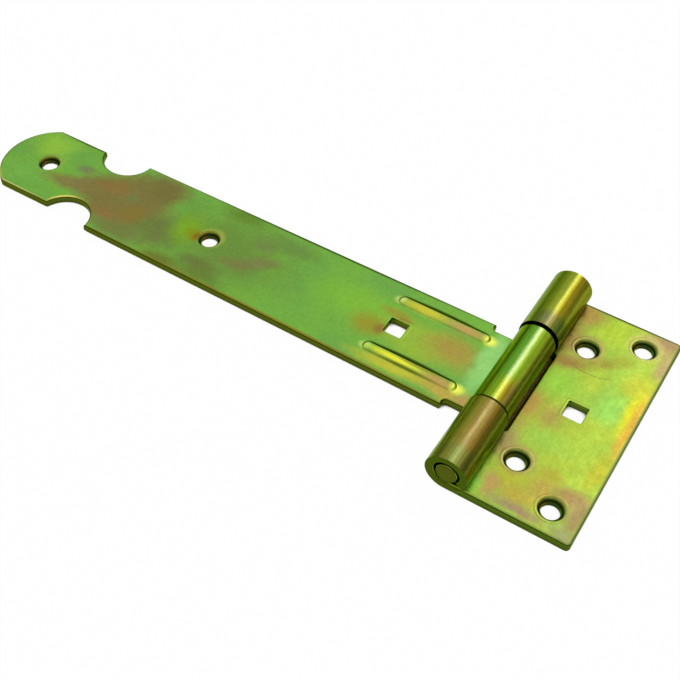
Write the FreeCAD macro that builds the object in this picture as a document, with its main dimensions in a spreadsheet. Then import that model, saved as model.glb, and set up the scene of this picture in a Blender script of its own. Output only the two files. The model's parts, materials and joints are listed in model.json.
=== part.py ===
# Tee hinge: a long strap leaf and a rectangular butt plate on one plain pin.
# Frame: +Z up, z = 0 is the flat back of the strap, Y runs along the pin,
# the butt plate reaches towards +X and the strap towards -X.
# The origin lies on the strap's back plane, straight under the middle of the pin.
# The front faces are level, so the back of the thicker plate lies below z = 0.

import FreeCAD, Part
import math
import os
import Sketcher

doc = FreeCAD.newDocument("tee_hinge")

# Driving dimensions in millimetres, with what each one measures

dimensions = [
    ("plate_thickness", 3.0, "steel sheet of the butt plate"),
    ("strap_thickness", 2.5, "steel sheet of the strap"),
    ("edge_radius", 1.0, "rounding that blanking leaves round the front face"),
    ("pin_diameter", 7.6, "plain round pin"),
    ("pin_clearance", 0.3, "radial play of the pin in the rolled knuckles"),
    ("pin_drop", 0.25, "how far the pin lies below the barrel's axis, within its play"),
    ("pin_recess", 0.1, "how far each pin end sits inside the barrel"),
    ("pin_chamfer", 0.5, "chamfer on the pin ends"),
    ("seam_gap", 0.25, "height of the rolled end over the leaf's front face"),
    ("bore_mouth", 0.7, "how much wider the bore opens at each knuckle's ends"),
    ("knuckle_gap", 1.0, "gap between neighbouring knuckles, with the strap in the middle"),
    ("notch_clearance", 0.15, "gap between the plate's notch and the strap when it hangs straight down"),
    ("strap_shift", 0.4, "how far the strap lies towards its near side, within the knuckle gaps"),
    ("plate_height", 92.0, "butt plate, along the pin"),
    ("plate_reach", 41.0, "pin axis to the butt plate's outer edge"),
    ("plate_corner", 1.5, "butt plate's outer corners"),
    ("notch_corner", 0.8, "inner corners of the butt plate's notch"),
    ("inner_screw_reach", 14.75, "pin axis to the inner pair of screw holes"),
    ("inner_screw_spacing", 53.4, "inner pair, hole to hole"),
    ("outer_screw_reach", 31.0, "pin axis to the outer pair of screw holes"),
    ("outer_screw_spacing", 73.9, "outer pair, hole to hole"),
    ("plate_bolt_reach", 22.2, "pin axis to the butt plate's square hole"),
    ("plate_screw_bore", 6.2, "screw holes of the butt plate"),
    ("plate_screw_sink", 8.8, "countersink of those holes"),
    ("strap_reach", 212.0, "pin axis to the strap's tip"),
    ("strap_width", 40.4, "strap at its shoulders"),
    ("strap_end_width", 38.4, "strap at its round notches"),
    ("shoulder_step", 2.7, "how much narrower the neck is on each side"),
    ("shoulder_reach", 15.2, "pin axis to the strap's shoulders"),
    ("neck_fillet", 1.4, "concave corners where the neck meets the shoulders"),
    ("head_width", 34.4, "head beyond the round notches"),
    ("head_radius", 20.0, "round end of the head"),
    ("round_notch_radius", 9.7, "round notches between strap and head"),
    ("round_notch_inset", 41.0, "strap's tip to the round notches"),
    ("end_screw_inset", 18.0, "strap's tip to the screw hole in the head"),
    ("middle_screw_reach", 119.7, "pin axis to the screw hole along the strap"),
    ("strap_screw_bore", 6.0, "screw holes of the strap"),
    ("strap_screw_sink", 8.4, "countersink of those holes"),
    ("strap_bolt_reach", 42.9, "pin axis to the strap's square hole"),
    ("bolt_square", 7.0, "square holes for carriage bolts"),
    ("bolt_square_corner", 0.7, "corners of the square holes"),
    ("hole_chamfer", 0.35, "broken edge round the holes on the front face"),
    ("sink_angle", 90.0, "countersink, in degrees"),
    ("bead_offset", 12.1, "strap's centre line to each stiffening bead"),
    ("bead_near", 13.6, "pin axis to the near end of the beads"),
    ("bead_far", 48.6, "pin axis to the far end of the beads"),
    ("bead_width", 4.8, "bead at its foot"),
    ("bead_height", 0.8, "bead above the front face"),
    ("bead_slope", 50.0, "slope of the bead's flanks from upright, in degrees"),
    ("bead_crown", 1.2, "rounding along the bead's top"),
    ("bead_foot", 0.8, "rounding along the bead's foot"),
    ("bead_groove_width", 3.8, "pressed hollow under each bead"),
]

sizes = doc.addObject("Spreadsheet::Sheet", "Sizes")
sizes.Label = "sizes"
value = {}
for row, (alias, number, note) in enumerate(dimensions, start=1):
    sizes.set(f"A{row}", alias)
    sizes.set(f"B{row}", str(number))
    sizes.set(f"C{row}", note)
    sizes.setAlias(f"B{row}", alias)
    value[alias] = number

# Sizes that follow from the driving ones

derived = [
    ("bore_radius", "pin_diameter / 2 + pin_clearance"),
    ("plate_barrel", "bore_radius + plate_thickness"),
    ("strap_barrel", "bore_radius + strap_thickness"),
    ("strap_knuckle", "strap_width - 2 * shoulder_step"),
    ("notch_width", "strap_knuckle + 2 * knuckle_gap"),
    ("notch_reach", "strap_barrel + notch_clearance"),
    ("plate_seam", "plate_thickness + seam_gap"),
    ("strap_seam", "strap_thickness + seam_gap"),
    ("plate_step", "plate_thickness - strap_thickness"),
    ("pin_height", "strap_barrel - pin_drop"),
    ("knuckle_length", "(plate_height - notch_width) / 2"),
    ("pin_length", "plate_height - 2 * pin_recess"),
    ("head_centre", "strap_reach - head_radius"),
    ("round_notch_reach", "strap_reach - round_notch_inset"),
    ("end_screw_reach", "strap_reach - end_screw_inset"),
]
for row, (alias, formula) in enumerate(derived, start=len(dimensions) + 1):
    sizes.set(f"A{row}", alias)
    sizes.set(f"B{row}", "=" + formula)
    sizes.setAlias(f"B{row}", alias)
doc.recompute()
for alias, formula in derived:
    value[alias] = float(getattr(sizes, alias))

# A sketch's own numbers for its two axes, and for the points of a line or an arc
horizontal_axis, vertical_axis = range(-1, -3, -1)
start, end, centre = range(1, 4)
tiny = 1e-4


# Shared helpers

def new_body(label):
    body = doc.addObject("PartDesign::Body", label)
    body.Label = label
    return body


def new_sketch(body, name, plane, offset=None):
    """A sketch on one of the body's origin planes, lifted by a named size."""
    sketch = body.newObject("Sketcher::SketchObject", name)
    support = next(f for f in body.Origin.OriginFeatures if f.Role == plane)
    sketch.AttachmentSupport = [(support, "")]
    sketch.MapMode = "FlatFace"
    if offset:
        sketch.setExpression("AttachmentOffset.Base.z", offset)
    return sketch


def bind(sketch, name, constraint, formula):
    """Add a dimension and tie it to the sheet."""
    index = sketch.addConstraint(constraint)
    sketch.renameConstraint(index, name)
    sketch.setExpression(f"Constraints.{name}", formula)


def sized(alias):
    return f"Sizes.{alias}"


def vector(across, along, up=0.0):
    return FreeCAD.Vector(across, along, up)


def add_line(sketch, first, second):
    return sketch.addGeometry(Part.LineSegment(vector(*first), vector(*second)))


def join(sketch, pairs):
    for first, first_point, second, second_point in pairs:
        sketch.addConstraint(Sketcher.Constraint("Coincident", first, first_point, second, second_point))


def align(sketch, lines):
    """Make each line level or upright, as it was drawn."""
    for index in lines:
        line = sketch.Geometry[index]
        level = abs(line.StartPoint.y - line.EndPoint.y) < tiny
        sketch.addConstraint(Sketcher.Constraint("Horizontal" if level else "Vertical", index))


def mirror_points(sketch, pairs):
    """Pairs of line starts and ends that lie evenly about the long centre line."""
    for first, first_point, second, second_point in pairs:
        sketch.addConstraint(Sketcher.Constraint(
            "Symmetric", first, first_point, second, second_point, horizontal_axis))


def reach(geometry, point, side, amount):
    """Distance of a point from the pin axis, measured towards its own side."""
    if side > 0:
        return Sketcher.Constraint("DistanceX", horizontal_axis, 1, geometry, point, amount)
    return Sketcher.Constraint("DistanceX", geometry, point, horizontal_axis, 1, amount)


def dimension(kind, geometry, first_point, other, other_point, amount):
    return Sketcher.Constraint(kind, geometry, first_point, other, other_point, amount)


def pad(body, sketch, name, length, midplane=False, taper=None):
    feature = body.newObject("PartDesign::Pad", name)
    feature.Profile = sketch
    feature.setExpression("Length", length)
    feature.Midplane = midplane
    if taper:
        feature.setExpression("TaperAngle", taper)
    sketch.Visibility = False
    return feature


def pocket(body, sketch, name, depth=None, reverse=False, taper=None):
    feature = body.newObject("PartDesign::Pocket", name)
    feature.Profile = sketch
    feature.Reversed = reverse
    if depth:
        feature.setExpression("Length", depth)
    else:
        feature.Type = "ThroughAll"
    if taper:
        feature.setExpression("TaperAngle", taper)
    sketch.Visibility = False
    return feature


def mirrored(body, feature, name):
    """Repeat a feature on the other side of the long centre line."""
    copy = body.newObject("PartDesign::Mirrored", name)
    copy.Originals = [feature]
    plane = next(f for f in body.Origin.OriginFeatures if f.Role == "XZ_Plane")
    copy.MirrorPlane = (plane, [""])
    body.Tip = copy
    return copy


def dress(body, kind, name, radius, chosen):
    """Fillet or chamfer the edges of the body's last feature that a test picks out."""
    doc.recompute()
    base = body.Tip
    edges = [f"Edge{i}" for i, edge in enumerate(base.Shape.Edges, start=1) if chosen(edge)]
    if not edges:
        raise RuntimeError(f"{name}: no edge was found")
    feature = body.newObject("PartDesign::" + kind, name)
    feature.Base = (base, edges)
    feature.setExpression("Size" if kind == "Chamfer" else "Radius", radius)
    doc.recompute()
    if "Invalid" in feature.State or feature.Shape.isNull():
        raise RuntimeError(f"{name}: {feature.State}")
    return feature


def middle(edge):
    return edge.valueAt((edge.FirstParameter + edge.LastParameter) / 2)


def upright(edge):
    return isinstance(edge.Curve, Part.Line) and abs(edge.tangentAt(edge.FirstParameter).z) > 1 - tiny


def stands_at(edge, across, along):
    """An upright edge at this place in plan, on either side of the centre line."""
    point = middle(edge)
    return upright(edge) and abs(point.x - across) < tiny and abs(abs(point.y) - along) < tiny


# Features that both leaves share; a leaf is "plate" or "strap", as in the names of its sizes,
# and each is drawn with its own back on the body's XY plane

def round_front_edges(body, leaf, on_outline):
    """Rounding from blanking, round the front face of the flat sheet."""
    def chosen(edge):
        on_front = all(abs(v.Z - value[leaf + "_thickness"]) < tiny for v in edge.Vertexes)
        return on_front and on_outline(middle(edge))

    return dress(body, "Fillet", leaf + "_edges", sized("edge_radius"), chosen)


def roll_knuckle(body, leaf, side, offset, length, midplane):
    """The leaf's sheet carried round the pin: up the far side, over the top and back
    down on its own front face, where a thin seam stays open."""
    inner = value["bore_radius"]
    outer = value[leaf + "_barrel"]
    seam_height = value[leaf + "_seam"]
    tip = math.asin((seam_height - outer) / outer)
    sketch = new_sketch(body, leaf + "_knuckle_section", "XZ_Plane", offset)
    middle_point = vector(0, outer)
    upward = vector(0, 0, 1)
    if side > 0:
        sweep = (tip, 1.5 * math.pi)
        free, root = start, end
    else:
        sweep = (-0.5 * math.pi, math.pi - tip)
        free, root = end, start
    outside = sketch.addGeometry(Part.ArcOfCircle(Part.Circle(middle_point, upward, outer), *sweep))
    inside = sketch.addGeometry(Part.ArcOfCircle(Part.Circle(middle_point, upward, inner), *sweep))
    reach_out = side * math.cos(tip)
    seam = add_line(
        sketch,
        (outer * reach_out, outer + outer * math.sin(tip)),
        (inner * reach_out, outer + inner * math.sin(tip)))
    foot = add_line(sketch, (0, 0), (0, outer - inner))
    join(sketch, [
        (outside, centre, inside, centre),
        (outside, root, horizontal_axis, 1),
        (foot, start, outside, root),
        (foot, end, inside, root),
        (seam, start, outside, free),
        (seam, end, inside, free)])
    sketch.addConstraint(Sketcher.Constraint("Vertical", foot))
    sketch.addConstraint(Sketcher.Constraint("PointOnObject", outside, centre, vertical_axis))
    sketch.addConstraint(Sketcher.Constraint("PointOnObject", outside, centre, seam))
    bind(sketch, "outer_radius", Sketcher.Constraint("Radius", outside, outer), sized(leaf + "_barrel"))
    bind(sketch, "inner_radius", Sketcher.Constraint("Radius", inside, inner), sized("bore_radius"))
    bind(sketch, "seam_height",
         dimension("DistanceY", horizontal_axis, 1, seam, start, seam_height),
         sized(leaf + "_seam"))
    return pad(body, sketch, leaf + "_knuckle_roll", length, midplane)


def open_bore_ends(body, leaf, ends):
    """The sheet's rounded edge is on the inside of the roll, so the bore opens at its ends
    like a shallow cone. Ends are (place along the pin, its formula, the way the mouth faces),
    on the far side of the part, and they repeat on the near side."""
    mouth = value["bore_radius"] + value["bore_mouth"]
    sketch = new_sketch(body, leaf + "_bore_ends_section", "YZ_Plane")
    sketch.setExpression("AttachmentOffset.Base.y", sized(leaf + "_barrel"))
    for number, (place, formula, facing) in enumerate(ends):
        cone_tip = place - facing * mouth
        along_pin = add_line(sketch, (cone_tip, 0), (place, 0))
        across_pin = add_line(sketch, (place, 0), (place, mouth))
        slope = add_line(sketch, (place, mouth), (cone_tip, 0))
        join(sketch, [
            (along_pin, end, across_pin, start),
            (across_pin, end, slope, start),
            (slope, end, along_pin, start)])
        align(sketch, [along_pin, across_pin])
        sketch.addConstraint(Sketcher.Constraint("PointOnObject", along_pin, start, horizontal_axis))
        sketch.addConstraint(Sketcher.Constraint("Equal", along_pin, across_pin))
        bind(sketch, f"mouth_{number}",
             dimension("DistanceY", across_pin, start, across_pin, end, mouth),
             sized("bore_radius") + " + Sizes.bore_mouth")
        bind(sketch, f"place_{number}",
             dimension("DistanceX", horizontal_axis, 1, across_pin, start, place), formula)
    groove = body.newObject("PartDesign::Groove", leaf + "_bore_ends")
    groove.Profile = sketch
    groove.ReferenceAxis = (sketch, ["H_Axis"])
    groove.Angle = 360
    sketch.Visibility = False
    doc.recompute()
    return mirrored(body, groove, leaf + "_bore_ends_pair")


def screw_holes(body, leaf, places):
    """Countersunk round holes from the front face; places are (reach, side, spacing)."""
    name, thickness = leaf + "_screw_holes", leaf + "_thickness"
    bore, sink = leaf + "_screw_bore", leaf + "_screw_sink"
    sketch = new_sketch(body, name + "_centres", "XY_Plane", sized(thickness))
    for number, (reach_alias, side, spacing_alias) in enumerate(places):
        across = side * value[reach_alias]
        half = value[spacing_alias] / 2 if spacing_alias else 0
        radius = value[bore] / 2
        circles = [
            sketch.addGeometry(Part.Circle(vector(across, along), vector(0, 0, 1), radius))
            for along in ((half, -half) if half else (0,))]
        for index in circles:
            bind(sketch, f"bore_{number}_{index}",
                 Sketcher.Constraint("Diameter", index, 2 * radius), sized(bore))
        bind(sketch, f"reach_{number}", reach(circles[0], centre, side, value[reach_alias]),
                 sized(reach_alias))
        if spacing_alias:
            mirror_points(sketch, [(circles[0], centre, circles[1], centre)])
            bind(sketch, f"spacing_{number}",
                 dimension("DistanceY", circles[1], centre, circles[0], centre, 2 * half),
                 sized(spacing_alias))
        else:
            sketch.addConstraint(Sketcher.Constraint("PointOnObject", circles[0], centre, horizontal_axis))
    doc.recompute()
    hole = body.newObject("PartDesign::Hole", name)
    hole.Profile = sketch
    doc.recompute()
    hole.Threaded = False
    hole.DepthType = "ThroughAll"
    hole.setExpression("Diameter", sized(bore))
    hole.HoleCutType = "Countersink"
    hole.HoleCutCustomValues = True
    hole.setExpression("HoleCutDiameter", sized(sink))
    hole.setExpression("HoleCutCountersinkAngle", sized("sink_angle"))
    sketch.Visibility = False
    return dress(body, "Chamfer", name + "_rims", sized("hole_chamfer"), lambda edge: (
        isinstance(edge.Curve, Part.Circle)
        and abs(edge.Curve.Radius - value[sink] / 2) < tiny
        and abs(middle(edge).z - value[thickness]) < tiny))


def bolt_hole(body, leaf, side):
    """A square hole that holds the square neck of a carriage bolt."""
    name, thickness, reach_alias = leaf + "_bolt_hole", leaf + "_thickness", leaf + "_bolt_reach"
    half = value["bolt_square"] / 2
    across = side * value[reach_alias]
    sketch = new_sketch(body, name + "_outline", "XY_Plane", sized(thickness))
    corners = [(across - half, -half), (across + half, -half), (across + half, half), (across - half, half)]
    lines = [add_line(sketch, corners[i], corners[(i + 1) % 4]) for i in range(4)]
    join(sketch, [(lines[i], end, lines[(i + 1) % 4], start) for i in range(4)])
    align(sketch, lines)
    place = sketch.addGeometry(Part.Point(vector(across, 0)))
    sketch.setConstruction(place, True)
    sketch.addConstraint(Sketcher.Constraint("PointOnObject", place, 1, horizontal_axis))
    sketch.addConstraint(Sketcher.Constraint(
        "Symmetric", lines[0], start, lines[2], start, place, 1))
    bind(sketch, "width", dimension("DistanceX", lines[0], start, lines[0], end, 2 * half),
         sized("bolt_square"))
    bind(sketch, "height", dimension("DistanceY", lines[1], start, lines[1], end, 2 * half),
         sized("bolt_square"))
    bind(sketch, "reach", reach(place, 1, side, value[reach_alias]), sized(reach_alias))
    pocket(body, sketch, name)

    def beside(edge):
        point = middle(edge)
        return abs(point.x - across) < half + tiny and abs(point.y) < half + tiny

    dress(body, "Fillet", name + "_corners", sized("bolt_square_corner"),
          lambda edge: upright(edge) and beside(edge))
    return dress(body, "Chamfer", name + "_rim", sized("hole_chamfer"),
                 lambda edge: beside(edge) and abs(middle(edge).z - value[thickness]) < tiny)


# Butt plate: a notched rectangle with a rolled knuckle each side of the notch

def butt_plate():
    body = new_body("butt_plate")
    half = value["plate_height"] / 2
    notch_half = value["notch_width"] / 2
    notch_reach = value["notch_reach"]
    outer_edge = value["plate_reach"]
    outline = new_sketch(body, "plate_outline", "XY_Plane")
    corners = [
        (0, -half), (outer_edge, -half), (outer_edge, half), (0, half),
        (0, notch_half), (notch_reach, notch_half), (notch_reach, -notch_half), (0, -notch_half)]
    count = len(corners)
    lines = [add_line(outline, corners[i], corners[(i + 1) % count]) for i in range(count)]
    join(outline, [(lines[i], end, lines[(i + 1) % count], start) for i in range(count)])
    align(outline, [line for line in lines if line not in (lines[1], lines[5])])
    mirror_points(outline, [
        (lines[1], start, lines[1], end),
        (lines[5], start, lines[5], end)])
    for line in (lines[0], lines[3]):
        outline.addConstraint(Sketcher.Constraint("PointOnObject", line, start, vertical_axis))
    bind(outline, "height", dimension("DistanceY", lines[1], start, lines[1], end, 2 * half),
         sized("plate_height"))
    bind(outline, "reach", reach(lines[1], start, 1, outer_edge), sized("plate_reach"))
    bind(outline, "notch_width", dimension("DistanceY", lines[5], end, lines[5], start, 2 * notch_half),
         sized("notch_width"))
    bind(outline, "notch_reach", reach(lines[5], start, 1, notch_reach), sized("notch_reach"))
    pad(body, outline, "plate_leaf", sized("plate_thickness"))
    doc.recompute()
    dress(body, "Fillet", "plate_corners", sized("plate_corner"),
          lambda edge: stands_at(edge, outer_edge, half))
    dress(body, "Fillet", "notch_corners", sized("notch_corner"),
          lambda edge: stands_at(edge, notch_reach, notch_half))

    round_front_edges(body, "plate", lambda point: point.x > tiny)
    knuckle = roll_knuckle(
        body, "plate", 1, sized("notch_width") + " / 2", sized("knuckle_length"), False)
    doc.recompute()
    mirrored(body, knuckle, "plate_knuckle_pair")
    open_bore_ends(body, "plate", [
        (half, sized("plate_height") + " / 2", 1),
        (notch_half, sized("notch_width") + " / 2", -1)])
    screw_holes(body, "plate", [
        ("inner_screw_reach", 1, "inner_screw_spacing"),
        ("outer_screw_reach", 1, "outer_screw_spacing")])
    bolt_hole(body, "plate", 1)
    body.setExpression("Placement.Base.z", "-Sizes.plate_step")
    return body


# Strap leaf: a neck, a long tapering strap, two round notches and a round head

def strap_outline(body):
    neck = value["strap_knuckle"] / 2
    root = value["strap_width"] / 2
    waist = value["strap_end_width"] / 2
    head = value["head_width"] / 2
    shoulder = -value["shoulder_reach"]
    notch = -value["round_notch_reach"]
    radius = value["head_radius"]
    head_centre = -value["head_centre"]
    spread = math.asin(head / radius)
    head_end = head_centre - radius * math.cos(spread)
    outline = new_sketch(body, "strap_outline", "XY_Plane")
    lower = [(0, -neck), (shoulder, -neck), (shoulder, -root), (notch, -waist), (notch, -head), (head_end, -head)]
    upper = [(across, -along) for across, along in reversed(lower)]
    down = [add_line(outline, lower[i], lower[i + 1]) for i in range(5)]
    tip = outline.addGeometry(Part.ArcOfCircle(
        Part.Circle(vector(head_centre, 0), vector(0, 0, 1), radius), math.pi - spread, math.pi + spread))
    back = [add_line(outline, upper[i], upper[i + 1]) for i in range(5)]
    root_line = add_line(outline, upper[5], lower[0])
    join(outline, [(down[i], end, down[i + 1], start) for i in range(4)])
    join(outline, [(back[i], end, back[i + 1], start) for i in range(4)])
    join(outline, [
        (down[4], end, tip, end), (tip, start, back[0], start),
        (back[4], end, root_line, start), (root_line, end, down[0], start)])
    align(outline, [down[0], down[1], down[3], down[4], back[0], back[3], back[4]])
    mirror_points(outline, [
        (down[0], start, back[4], end),
        (down[1], end, back[3], start),
        (down[2], end, back[2], start),
        (down[3], end, back[1], start)])
    outline.addConstraint(Sketcher.Constraint("PointOnObject", down[0], start, vertical_axis))
    outline.addConstraint(Sketcher.Constraint("PointOnObject", tip, centre, horizontal_axis))
    bind(outline, "neck_width",
         dimension("DistanceY", down[0], start, back[4], end, 2 * neck), sized("strap_knuckle"))
    bind(outline, "shoulder_width",
         dimension("DistanceY", down[1], end, back[3], start, 2 * root), sized("strap_width"))
    bind(outline, "end_width",
         dimension("DistanceY", down[2], end, back[2], start, 2 * waist), sized("strap_end_width"))
    bind(outline, "head_width",
         dimension("DistanceY", down[3], end, back[1], start, 2 * head), sized("head_width"))
    bind(outline, "shoulder_reach", reach(down[0], end, -1, -shoulder), sized("shoulder_reach"))
    bind(outline, "notch_reach", reach(down[2], end, -1, -notch), sized("round_notch_reach"))
    bind(outline, "head_centre", reach(tip, centre, -1, -head_centre), sized("head_centre"))
    bind(outline, "head_radius", Sketcher.Constraint("Radius", tip, radius), sized("head_radius"))
    return outline


def round_notches(body):
    """Round bites centred on the strap's own edges."""
    sketch = new_sketch(body, "round_notch_outline", "XY_Plane", sized("strap_thickness"))
    across = -value["round_notch_reach"]
    along = value["strap_end_width"] / 2
    radius = value["round_notch_radius"]
    chord_rise = math.asin(0.5)
    bite = sketch.addGeometry(Part.ArcOfCircle(
        Part.Circle(vector(across, along), vector(0, 0, 1), radius), math.pi - chord_rise, 2 * math.pi + chord_rise))
    chord_half = radius * math.cos(chord_rise)
    chord_height = along + radius / 2
    chord = add_line(sketch, (across + chord_half, chord_height), (across - chord_half, chord_height))
    join(sketch, [(bite, end, chord, start), (chord, end, bite, start)])
    align(sketch, [chord])
    bind(sketch, "reach", reach(bite, centre, -1, -across), sized("round_notch_reach"))
    bind(sketch, "offset", dimension("DistanceY", horizontal_axis, 1, bite, centre, along),
         sized("strap_end_width") + " / 2")
    bind(sketch, "radius", Sketcher.Constraint("Radius", bite, radius), sized("round_notch_radius"))
    bind(sketch, "chord_height", dimension("DistanceY", bite, centre, chord, start, radius / 2),
         sized("round_notch_radius") + " / 2")
    notch = pocket(body, sketch, "round_notch")
    doc.recompute()
    return mirrored(body, notch, "round_notch_pair")


def slot_sketch(body, name, plane_offset, width_alias):
    """A round-ended slot along the strap, as wide as the named size."""
    sketch = new_sketch(body, name, "XY_Plane", plane_offset)
    half = value[width_alias] / 2
    near = -value["bead_near"] - value["bead_width"] / 2
    far = -value["bead_far"] + value["bead_width"] / 2
    along = value["bead_offset"]
    upward = vector(0, 0, 1)
    right = sketch.addGeometry(Part.ArcOfCircle(
        Part.Circle(vector(near, along), upward, half), -0.5 * math.pi, 0.5 * math.pi))
    left = sketch.addGeometry(Part.ArcOfCircle(
        Part.Circle(vector(far, along), upward, half), 0.5 * math.pi, 1.5 * math.pi))
    top = add_line(sketch, (near, along + half), (far, along + half))
    bottom = add_line(sketch, (far, along - half), (near, along - half))
    for first, first_point, second, second_point in (
            (right, end, top, start), (top, end, left, start),
            (left, end, bottom, start), (bottom, end, right, start)):
        sketch.addConstraint(Sketcher.Constraint("Tangent", first, first_point, second, second_point))
    sketch.addConstraint(Sketcher.Constraint("Equal", right, left))
    sketch.addConstraint(Sketcher.Constraint("Horizontal", top))
    bind(sketch, "half_width", Sketcher.Constraint("Radius", right, half), sized(width_alias) + " / 2")
    bind(sketch, "offset", dimension("DistanceY", horizontal_axis, 1, right, centre, along),
         sized("bead_offset"))
    bind(sketch, "near_end", reach(right, centre, -1, -near), sized("bead_near") + " + Sizes.bead_width / 2")
    bind(sketch, "far_end", reach(left, centre, -1, -far), sized("bead_far") + " - Sizes.bead_width / 2")
    return sketch


def stiffening_beads(body):
    """Pressed beads each side of the square hole: proud in front, hollow behind."""
    front = value["strap_thickness"]
    top = front + value["bead_height"]
    proud = slot_sketch(body, "bead_outline", sized("strap_thickness"), "bead_width")
    bead = pad(body, proud, "bead", sized("bead_height"), taper="-" + sized("bead_slope"))
    doc.recompute()
    mirrored(body, bead, "bead_pair")
    dress(body, "Fillet", "bead_crowns", sized("bead_crown"),
          lambda edge: all(abs(v.Z - top) < tiny for v in edge.Vertexes) and abs(middle(edge).z - top) < tiny)
    reach_in = value["bead_offset"] + value["bead_width"] / 2 + tiny
    reach_out = value["bead_offset"] - value["bead_width"] / 2 - tiny

    def at_foot(edge):
        point = middle(edge)
        inside = reach_out < abs(point.y) < reach_in
        within = -value["bead_far"] - tiny < point.x < -value["bead_near"] + tiny
        return inside and within and abs(point.z - front) < tiny

    dress(body, "Fillet", "bead_feet", sized("bead_foot"), at_foot)
    hollow = slot_sketch(body, "bead_groove_outline", None, "bead_groove_width")
    groove = pocket(body, hollow, "bead_groove", sized("bead_height"), True,
                    taper="-" + sized("bead_slope"))
    doc.recompute()
    return mirrored(body, groove, "bead_groove_pair")


def strap_leaf():
    body = new_body("strap_leaf")
    neck = value["strap_knuckle"] / 2
    shoulder = -value["shoulder_reach"]
    pad(body, strap_outline(body), "strap_sheet", sized("strap_thickness"))
    round_notches(body)
    dress(body, "Fillet", "neck_fillets", sized("neck_fillet"),
          lambda edge: stands_at(edge, shoulder, neck))
    round_front_edges(body, "strap", lambda point: point.x < -tiny)
    roll_knuckle(body, "strap", -1, None, sized("strap_knuckle"), True)
    open_bore_ends(body, "strap", [(neck, sized("strap_knuckle") + " / 2", 1)])
    stiffening_beads(body)
    screw_holes(body, "strap", [("end_screw_reach", -1, None), ("middle_screw_reach", -1, None)])
    bolt_hole(body, "strap", -1)
    body.setExpression("Placement.Base.y", "-Sizes.strap_shift")
    return body


# Pin: a plain rod as long as the barrel, lying at the bottom of its play

def hinge_pin():
    body = new_body("hinge_pin")
    radius = value["pin_diameter"] / 2
    section = new_sketch(body, "pin_section", "XZ_Plane")
    circle = section.addGeometry(Part.Circle(vector(0, value["pin_height"]), vector(0, 0, 1), radius))
    section.addConstraint(Sketcher.Constraint("PointOnObject", circle, centre, vertical_axis))
    bind(section, "diameter", Sketcher.Constraint("Diameter", circle, 2 * radius), sized("pin_diameter"))
    bind(section, "axis_height",
         dimension("DistanceY", horizontal_axis, 1, circle, centre, value["pin_height"]),
         sized("pin_height"))
    pad(body, section, "pin_rod", sized("pin_length"), True)
    dress(body, "Chamfer", "pin_ends", sized("pin_chamfer"),
          lambda edge: isinstance(edge.Curve, Part.Circle))
    return body


sub_parts = [butt_plate(), strap_leaf(), hinge_pin()]
doc.recompute()

for item in doc.Objects:
    if "Invalid" in item.State or "Error" in item.State:
        raise RuntimeError(f"{item.Name}: {item.State}")
    if item.isDerivedFrom("Sketcher::SketchObject") and item.solve() != 0:
        raise RuntimeError(f"{item.Name}: its constraints don't solve")

os.makedirs("parts", exist_ok=True)
for sub_part in sub_parts:
    shape = sub_part.Shape
    if shape.isNull() or not shape.isValid() or len(shape.Solids) != 1:
        raise RuntimeError(f"{sub_part.Label}: no single valid solid")
    shape.exportStep(f"parts/{sub_part.Label}.step")
    box = shape.BoundBox
    print(f"{sub_part.Label}: {shape.Volume:.0f} mm3, {len(shape.Faces)} faces, "
          f"x {box.XMin:.2f} to {box.XMax:.2f}, y {box.YMin:.2f} to {box.YMax:.2f}, "
          f"z {box.ZMin:.2f} to {box.ZMax:.2f}")
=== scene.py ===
import bmesh
import bpy
import json
import math
from mathutils import Matrix, Vector


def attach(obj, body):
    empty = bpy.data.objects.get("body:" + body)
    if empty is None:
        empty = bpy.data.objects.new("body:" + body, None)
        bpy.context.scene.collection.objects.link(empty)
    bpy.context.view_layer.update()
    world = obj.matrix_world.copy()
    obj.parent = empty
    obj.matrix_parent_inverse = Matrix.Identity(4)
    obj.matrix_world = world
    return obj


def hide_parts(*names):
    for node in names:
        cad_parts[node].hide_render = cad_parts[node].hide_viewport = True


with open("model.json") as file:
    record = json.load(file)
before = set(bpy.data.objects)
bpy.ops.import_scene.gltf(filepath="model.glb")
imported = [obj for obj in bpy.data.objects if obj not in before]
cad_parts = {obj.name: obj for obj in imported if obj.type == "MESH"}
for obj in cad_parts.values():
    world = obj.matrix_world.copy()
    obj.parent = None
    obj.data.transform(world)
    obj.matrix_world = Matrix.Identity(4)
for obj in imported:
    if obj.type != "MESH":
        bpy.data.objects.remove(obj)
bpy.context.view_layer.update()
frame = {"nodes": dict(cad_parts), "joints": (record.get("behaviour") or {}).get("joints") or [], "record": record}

mm = 0.001


# Places in millimetres, as the frame gives them

pinHeight = frame["joints"][0]["pos_m"][2] / mm
frontHeight = 2.5  # of both leaves, whose fronts are level; the frame has no value for it
mounts = {mount["name"]: mount for mount in frame["record"]["mounts"]}


def holesOf(name):
    # the middles of a mount's holes: a pair, a spacing apart, or a single one
    mount = mounts[name]
    across, along = mount["pos_m"][0] / mm, mount["pos_m"][1] / mm
    wide, deep = mount["dims"].get("spacing_x_mm", 0) / 2, mount["dims"].get("spacing_y_mm", 0) / 2
    ends = (-1, 1) if wide or deep else (0,)
    return [(across + end * wide, along + end * deep) for end in ends]


strapScrews = holesOf("strap_screws")
plateScrews = holesOf("plate_inner_screws") + holesOf("plate_outer_screws")
print("frame", len(frame["nodes"]), "nodes,", len(strapScrews + plateScrews), "screw holes")


# Shader maths

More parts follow.
